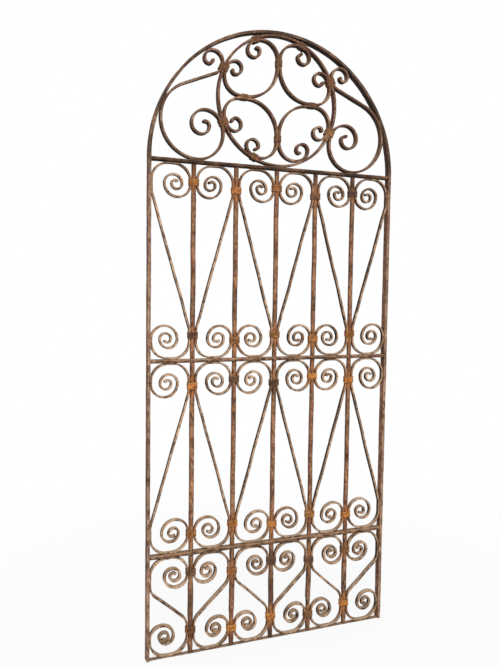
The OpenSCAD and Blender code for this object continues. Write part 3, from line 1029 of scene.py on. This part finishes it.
# Round uprights, a little thicker between their collars and rails, most of all in the bottom panel
UPRIGHT_STEP = 0.006
UPRIGHT_SWELL = 0.07
LOW_UPRIGHT_SWELL = 0.2
COLLAR_CLEAR = 0.03
RAIL_CLEAR = 0.01
SWELL_FADE = 0.02


def upright_swell(path):
    heights = np.array(path)[:, 1] - FOOT
    room = np.full(len(path), 1.0)
    for row in COLLARS.values():
        room = np.minimum(room, np.abs(heights - row[0][1]) - COLLAR_CLEAR)
    for z, height, depth in RAILS.values():
        room = np.minimum(room, np.abs(heights - z - height / 2) - RAIL_CLEAR)
    most = np.where(heights < LOWER_RAIL_Z, LOW_UPRIGHT_SWELL, UPRIGHT_SWELL)
    return most * np.clip(room / SWELL_FADE, 0.0, 1.0)


for number in UPRIGHTS:
    name = "upright_%d" % number
    start = (upright_x(number), FOOT + LOWER_PANEL_Z, 90.0)
    path = bend_path(start, [(0, TOP_RAIL_Z - LOWER_PANEL_Z)], UPRIGHT_STEP)
    outline = round_outline(UPRIGHT_D / 2, ROUND_SIDES)
    swell_at = upright_swell(path)
    part = sweep_bar(
        name, path, outline, swell=0.02, sway=0.0003, dent=0.00022, free=swell_at, free_deep=1.0,
    )
    make_piece("forged_" + name, [part], [name], "rusted_round_bar")

# Panel scrolls: height of the panel's foot, height of the panel, lean of the first scroll, and swell
LOOSE_SWELL = 0.14
LOW_LOOSE_SWELL = 0.36
PANELS = {
    "upper": (UPPER_PANEL_Z, TALL_PANEL_H, -1, LOOSE_SWELL),
    "middle": (MIDDLE_PANEL_Z, TALL_PANEL_H, 1, LOOSE_SWELL),
    "lower": (LOWER_PANEL_Z, SHORT_PANEL_H, -1, LOW_LOOSE_SWELL),
}

# Radii of the top and bottom curls of each panel, as shares of the outer turn's radius
CURLS = {
    "upper": ((0.67, 0.45, 0.275, 0.18), (0.68, 0.455, 0.285, 0.18)),
    "middle": ((0.70, 0.455, 0.285, 0.18), (0.70, 0.45, 0.27, 0.17)),
    "lower": ((0.615, 0.405, 0.265, 0.17), (0.63, 0.39, 0.25, 0.16)),
}
SCROLL_FLARE = 0.36
LOOSE_FROM = 0.002
LOOSE_FADE = 0.012
MOST_TIP_CUT = 2


def half_scroll_path(bay, panel_h, curl):
    r = turn_r(bay)
    drop = panel_h / 2 - FIT_GAP - SCROLL_T / 2 - r - SEAT_RUN
    swing = math.hypot(r - KNEE_R, drop)
    slant = math.degrees(math.atan2(r - KNEE_R, drop) + math.asin(KNEE_R / swing))
    half_len = math.sqrt(swing ** 2 - KNEE_R ** 2)
    wide = r - SEAT_RISE
    bends = [
        (0, half_len),
        (KNEE_R, slant),
        (0, SEAT_RUN + SEAT_RISE),
        (wide, 90),
        (0, 2 * SEAT_RISE),
        (wide, 90),
        (0, SEAT_RISE),
        (r * curl[0], 180),
        (r * curl[1], 180),
        (r * curl[2], 180),
        (r * curl[3], TIP_TURN),
    ]
    return bend_path((0.0, 0.0, 90 - slant), bends)


def panel_scroll_path(bay, panel_h, lean, curls):
    half = half_scroll_path(bay, panel_h, curls[0])
    other = turn_round(turned(half_scroll_path(bay, panel_h, curls[1]), 180))
    whole = other[:-1] + half
    if lean < 0:
        whole = mirrored(whole)
    return whole


# Forged bars swell a little where they run free of the uprights and the rails
def loose_swell(path, bay, panel_z, panel_h, most):
    spots = np.array(path)
    to_side = np.minimum(spots[:, 0] - bay_left(bay), bay_right(bay) - spots[:, 0])
    to_rail = np.minimum(spots[:, 1] - panel_z, panel_z + panel_h - spots[:, 1])
    room = np.minimum(to_side, to_rail) - SCROLL_T / 2 - FIT_GAP
    return most * np.clip((room - LOOSE_FROM) / LOOSE_FADE, 0.0, 1.0)


# Hand-forged tips are not quite of one length
def uneven_tips(name, path):
    dice = random.Random(seed_of(name + "tips"))
    first_cut = dice.randint(0, MOST_TIP_CUT)
    last_cut = dice.randint(0, MOST_TIP_CUT)
    return path[first_cut:len(path) - last_cut]


scroll_outline = flat_outline(SCROLL_T, SCROLL_D, BAR_CORNER, deep_steps=2, thick_steps=1)
for panel_name, (panel_z, panel_h, first_lean, most) in PANELS.items():
    for bay in range(1, BAYS + 1):
        name = "%s_scroll_%d" % (panel_name, bay)
        lean = first_lean if bay % 2 == 1 else -first_lean
        whole = panel_scroll_path(bay, panel_h, lean, CURLS[panel_name])
        path = uneven_tips(name, moved(whole, bay_mid(bay), FOOT + panel_z + panel_h / 2))
        swell_at = loose_swell(path, bay, FOOT + panel_z, panel_h, most)
        part = sweep_bar(
            name, path, scroll_outline, swell=0.045, sway=0.0002, flare=SCROLL_FLARE, free=swell_at,
        )
        make_piece("forged_" + name, [part], [name], "rusted_scroll_bar")

# Ring of the arched top
TOP_SWELL = 0.04
TOP_SWAY = 0.0002
TOP_FLARE = 0.42
top_outline = flat_outline(RING_T, RING_D, BAR_CORNER, deep_steps=3, thick_steps=1)
ring_path = moved(bend_path((0.0, -RING_R, 0.0), [(RING_R, 360.0)]), RING_X, RING_Z)
ring_part = sweep_bar("ring", ring_path, top_outline, TOP_SWELL, TOP_SWAY, closed=True)
make_piece("forged_top_ring", [ring_part], ["top_ring"], "rusted_scroll_bar")


def top_scroll(name, path):
    part = sweep_bar(name, moved(path, RING_X, RING_Z), top_outline, TOP_SWELL, TOP_SWAY, flare=TOP_FLARE)
    make_piece("forged_" + name, [part], [name], "rusted_scroll_bar")


# Scrolls inside the ring, each a quarter turn from the next
LOBES = {
    "top_scroll_upper_left": 0,
    "top_scroll_upper_right": -90,
    "top_scroll_lower_left": 90,
    "top_scroll_lower_right": 180,
}
LOBE_TIP = 0.48


def lobe_path():
    bends = [
        (QUARTER_R, 45),
        (0, LOBE_SEAT),
        (LOBE_R, 90 + COLLAR_ANGLE),
        (0, CURL_RUN),
        (CURL_R, 90 - COLLAR_ANGLE),
        (CURL_TURN_R, 180),
        (CURL_TURN_R * LOBE_TIP, CURL_TIP_TURN),
    ]
    start_x = -QUARTER_AT + QUARTER_R * cos_d(45)
    start_y = QUARTER_AT - QUARTER_R * sin_d(45)
    half = bend_path((start_x, start_y, 45.0), bends)
    flipped = [(-y, -x, 270 - heading) for x, y, heading in half]
    return turn_round(flipped)[:-1] + half


for name, angle in LOBES.items():
    top_scroll(name, turned(lobe_path(), angle))

# Side scrolls: radii of the turns of their knob and their spiral, as shares of the first turn's radius
KNOB_TURNS = (0.82, 0.5, 0.32)
SPIRAL_TURNS = (0.74, 0.55, 0.44, 0.24)


def side_scroll_path():
    outer = [
        (SIDE_LOW_R, -(90 + COLLAR_ANGLE)),
        (SIDE_BIG_R, -(180 - CROSS_HEADING)),
        (0, CROSS_LEN),
        (NECK_R, 90 - COLLAR_ANGLE - CROSS_HEADING),
        (0, NECK_RUN),
        (KNOB_R, 90 + COLLAR_ANGLE),
        (KNOB_R * KNOB_TURNS[0], 90),
        (KNOB_R * KNOB_TURNS[1], 90),
        (KNOB_R * KNOB_TURNS[2], CURL_TIP_TURN),
    ]
    inner = [
        (SPIRAL_R, 90 - COLLAR_ANGLE),
        (SPIRAL_R * SPIRAL_TURNS[0], 90),
        (SPIRAL_R * SPIRAL_TURNS[1], 90),
        (SPIRAL_R * SPIRAL_TURNS[2], 90),
        (SPIRAL_R * SPIRAL_TURNS[3], CURL_TIP_TURN),
    ]
    at_x = -RING_OUT * cos_d(COLLAR_ANGLE)
    at_y = -RING_OUT * sin_d(COLLAR_ANGLE)
    first = bend_path((at_x, at_y, 90 + COLLAR_ANGLE), inner)
    second = bend_path((at_x, at_y, 270 + COLLAR_ANGLE), outer)
    return turn_round(first)[:-1] + second


top_scroll("side_scroll_left", side_scroll_path())
top_scroll("side_scroll_right", mirrored(side_scroll_path()))

# Floor, pale and whiter away from the gate: FLOOR_WHITER is two distances and how white it is there
FLOOR_HALF = 9
FLOOR_COLOUR = (0.80, 0.80, 0.79, 1.0)
WHITE = (1.0, 1.0, 1.0, 1.0)
FLOOR_WHITER = (0.7, 2.2, 0.88, 1.0)


def floor_material():
    material = bpy.data.materials.new("pale_floor")
    material.use_nodes = True
    tree = material.node_tree
    tree.nodes.clear()
    out = add_node(tree, "ShaderNodeOutputMaterial")
    plain = add_node(tree, "ShaderNodeBsdfDiffuse")
    plain.inputs["Color"].default_value = FLOOR_COLOUR
    glow = add_node(tree, "ShaderNodeEmission")
    glow.inputs["Color"].default_value = WHITE
    rays = add_node(tree, "ShaderNodeLightPath")
    away = add_node(tree, "ShaderNodeVectorMath", operation="DISTANCE")
    tree.links.new(add_node(tree, "ShaderNodeNewGeometry").outputs["Position"], away.inputs[0])
    away.inputs[1].default_value = (MID_X, 0.0, FOOT)
    whiter = grey_ramp(tree, away.outputs["Value"], *FLOOR_WHITER)
    blend = add_node(tree, "ShaderNodeMixShader")
    tree.links.new(maths(tree, "MULTIPLY", rays.outputs["Is Camera Ray"], whiter), blend.inputs["Fac"])
    tree.links.new(plain.outputs[0], blend.inputs[1])
    tree.links.new(glow.outputs[0], blend.inputs[2])
    tree.links.new(blend.outputs[0], out.inputs["Surface"])
    return material


floor_mesh = bpy.data.meshes.new("floor")
floor_corners = [(FLOOR_HALF * x, FLOOR_HALF * y, FOOT) for x, y in ((-1, -1), (1, -1), (1, 1), (-1, 1))]
floor_mesh.from_pydata(floor_corners, [], [(0, 1, 2, 3)])
floor_mesh.materials.append(floor_material())
floor = bpy.data.objects.new("floor", floor_mesh)
bpy.context.scene.collection.objects.link(floor)

# World: white where it is seen, and a soft sky where it lights, stronger from above
SKY_COLOUR = (0.93, 0.96, 1.0, 1.0)
SKY_STRENGTH = (-0.1, 0.8, 0.10, 0.85)


def make_world():
    world = bpy.data.worlds.new("sky")
    world.use_nodes = True
    tree = world.node_tree
    tree.nodes.clear()
    out = add_node(tree, "ShaderNodeOutputWorld")
    sky = add_node(tree, "ShaderNodeBackground")
    sky.inputs["Color"].default_value = SKY_COLOUR
    look = add_node(tree, "ShaderNodeSeparateXYZ")
    tree.links.new(add_node(tree, "ShaderNodeTexCoord").outputs["Generated"], look.inputs[0])
    tree.links.new(grey_ramp(tree, look.outputs["Z"], *SKY_STRENGTH), sky.inputs["Strength"])
    white = add_node(tree, "ShaderNodeBackground")
    white.inputs["Color"].default_value = WHITE
    rays = add_node(tree, "ShaderNodeLightPath").outputs
    seen = maths(tree, "MAXIMUM", rays["Is Camera Ray"], rays["Is Glossy Ray"])
    seen = maths(tree, "MAXIMUM", seen, rays["Is Transmission Ray"])
    blend = add_node(tree, "ShaderNodeMixShader")
    tree.links.new(seen, blend.inputs["Fac"])
    tree.links.new(sky.outputs[0], blend.inputs[1])
    tree.links.new(white.outputs[0], blend.inputs[2])
    tree.links.new(blend.outputs[0], out.inputs["Surface"])
    return world


bpy.context.scene.world = make_world()

# Soft lamps: name, place, width, power and colour
LAMPS = [
    ("upper_left", (-1.15, -3.75, 3.0), 2.7, 150.0, (1.0, 0.98, 0.95)),
    ("front", (0.0, -4.2, 0.6), 2.4, 26.0, (1.0, 0.99, 0.97)),
]
LAMP_AIM = (0.45, 0.0, 0.1)

for name, place, size, power, colour in LAMPS:
    lamp_data = bpy.data.lights.new(name, "AREA")
    lamp_data.shape = "DISK"
    lamp_data.size = size
    lamp_data.energy = power
    lamp_data.color = colour
    lamp = bpy.data.objects.new(name, lamp_data)
    bpy.context.scene.collection.objects.link(lamp)
    lamp.location = place
    lamp.rotation_euler = (Vector(LAMP_AIM) - Vector(place)).to_track_quat("-Z", "Y").to_euler()

# Camera, as the photograph was taken: from the left, at about chest height
CAMERA_SENSOR = 36.0
CAMERA_LENS = 36.86
CAMERA_PLACE = (-0.96679 + MID_X, -2.19281, 1.24555 + FOOT)
CAMERA_RIGHT = (0.92910, -0.36960, 0.01301)
CAMERA_AHEAD = (0.36967, 0.92712, -0.06165)

camera_data = bpy.data.cameras.new("camera")
camera_data.sensor_width = CAMERA_SENSOR
camera_data.lens = CAMERA_LENS
camera = bpy.data.objects.new("camera", camera_data)
bpy.context.scene.collection.objects.link(camera)
ahead = Vector(CAMERA_AHEAD).normalized()
over = Vector(CAMERA_RIGHT).normalized().cross(ahead).normalized()
right = ahead.cross(over).normalized()
camera_turn = Matrix((right, over, -ahead)).transposed()
camera.matrix_world = Matrix.Translation(CAMERA_PLACE) @ camera_turn.to_4x4()
bpy.context.scene.camera = camera
bpy.context.scene.view_settings.view_transform = "Standard"
